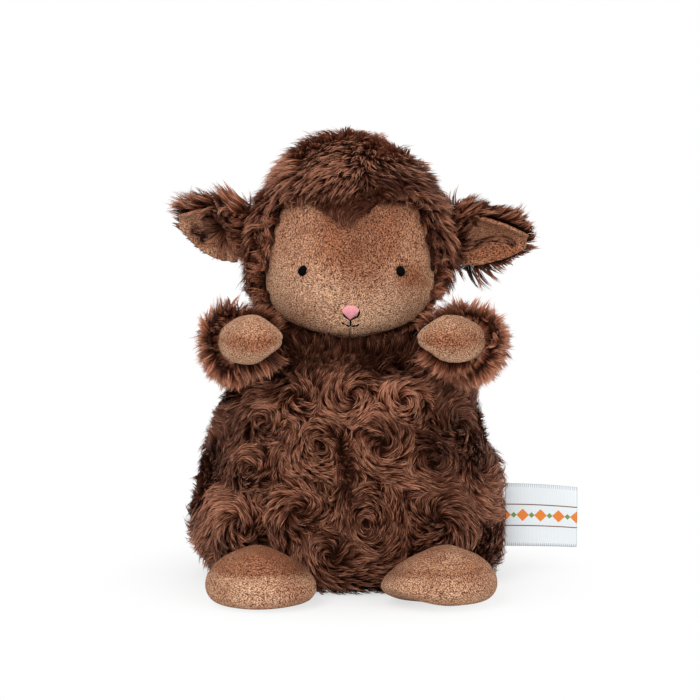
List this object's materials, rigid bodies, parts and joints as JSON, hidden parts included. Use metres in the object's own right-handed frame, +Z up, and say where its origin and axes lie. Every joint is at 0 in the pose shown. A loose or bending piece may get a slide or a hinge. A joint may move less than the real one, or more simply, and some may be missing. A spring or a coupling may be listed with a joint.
{
  "type": "plush sheep",
  "caption": "Seated stuffed sheep in dark swirled fur, with a short-pile velour face, hands and feet, floppy ears and a folded side label.",
  "frame": {"origin": "middle of the flat seat on which the sheep rests", "axes": "+Z up, the sheep faces -Y, its own left side is at +X"},
  "size_m": [0.2015, 0.1661, 0.2225],
  "materials": {
    "fur": "long swirled pile, dark brown",
    "velour": "short plush pile, light brown",
    "fibre_filling": "loose polyester fibre",
    "pellet_bag": "plain woven bag of pellets",
    "black_thread": "satin stitch",
    "pink_thread": "satin stitch",
    "ribbon": "woven satin ribbon"
  },
  "bodies": {
    "torso": {"body_front_panel": "fur", "body_back_panel": "fur", "seat_panel": "fur", "body_filling": "fibre_filling", "pellet_pouch": "pellet_bag"},
    "neck": {"neck_filling": "fibre_filling"},
    "head": {"face_panel": "velour", "crown_gusset": "fur", "hood_left": "fur", "hood_right": "fur", "head_filling": "fibre_filling", "nose": "pink_thread", "mouth_stitching": "black_thread", "eye_left": "black_thread", "eye_right": "black_thread"},
    "tail": {"tail": "fur"},
    "label": {"side_label": "ribbon"},
    "ear_left": {"ear_left_lining": "velour", "ear_left_back": "fur"},
    "arm_left": {"arm_left_sleeve": "fur", "arm_left_hand": "velour", "arm_left_filling": "fibre_filling"},
    "foot_left": {"foot_left_upper": "velour", "foot_left_sole": "velour", "foot_left_filling": "fibre_filling"},
    "ear_right": {"ear_right_lining": "velour", "ear_right_back": "fur"},
    "arm_right": {"arm_right_sleeve": "fur", "arm_right_hand": "velour", "arm_right_filling": "fibre_filling"},
    "foot_right": {"foot_right_upper": "velour", "foot_right_sole": "velour", "foot_right_filling": "fibre_filling"}
  },
  "joints": [
    {"name": "neck_turn", "type": "hinge", "parent": "torso", "child": "neck", "pos_m": [0, 0, 0.1255], "axis": [0, 0, 1], "range_deg": [-25, 25], "stiffness_Nm_per_rad": 0.15},
    {"name": "head_nod", "type": "hinge", "parent": "neck", "child": "head", "pos_m": [0, 0, 0.1255], "axis": [1, 0, 0], "range_deg": [-10, 10], "stiffness_Nm_per_rad": 0.3},
    {"name": "arm_left_lift", "type": "hinge", "parent": "torso", "child": "arm_left", "pos_m": [0.05231, -0.012, 0.11192], "axis": [0.8, 0, 0.6], "range_deg": [-25, 30], "stiffness_Nm_per_rad": 0.1},
    {"name": "ear_left_flap", "type": "hinge", "parent": "head", "child": "ear_left", "pos_m": [0.05221, -0.001, 0.17301], "axis": [0.1107, -0.5235, 0.8448], "range_deg": [-15, 15], "stiffness_Nm_per_rad": 0.02},
    {"name": "foot_left_tilt", "type": "hinge", "parent": "torso", "child": "foot_left", "pos_m": [0.04379, -0.0525, 0.014], "axis": [1, 0, 0], "range_deg": [-25, 20], "stiffness_Nm_per_rad": 0.15},
    {"name": "arm_right_lift", "type": "hinge", "parent": "torso", "child": "arm_right", "pos_m": [-0.05231, -0.012, 0.11192], "axis": [0.8, 0, -0.6], "range_deg": [-25, 30], "stiffness_Nm_per_rad": 0.1},
    {"name": "ear_right_flap", "type": "hinge", "parent": "head", "child": "ear_right", "pos_m": [-0.05221, -0.001, 0.17301], "axis": [-0.062, -0.5465, 0.8352], "range_deg": [-10, 25], "stiffness_Nm_per_rad": 0.02},
    {"name": "foot_right_tilt", "type": "hinge", "parent": "torso", "child": "foot_right", "pos_m": [-0.04379, -0.0525, 0.014], "axis": [1, 0, 0], "range_deg": [-25, 20], "stiffness_Nm_per_rad": 0.15},
    {"name": "tail_lift", "type": "hinge", "parent": "torso", "child": "tail", "pos_m": [0, 0.06, 0.04356], "axis": [1, 0, 0], "range_deg": [0, 40], "stiffness_Nm_per_rad": 0.01},
    {"name": "label_swing", "type": "hinge", "parent": "torso", "child": "label", "pos_m": [0.07835, 0, 0.0299], "axis": [0, 0, 1], "range_deg": [-50, 50], "stiffness_Nm_per_rad": 0.002}
  ]
}
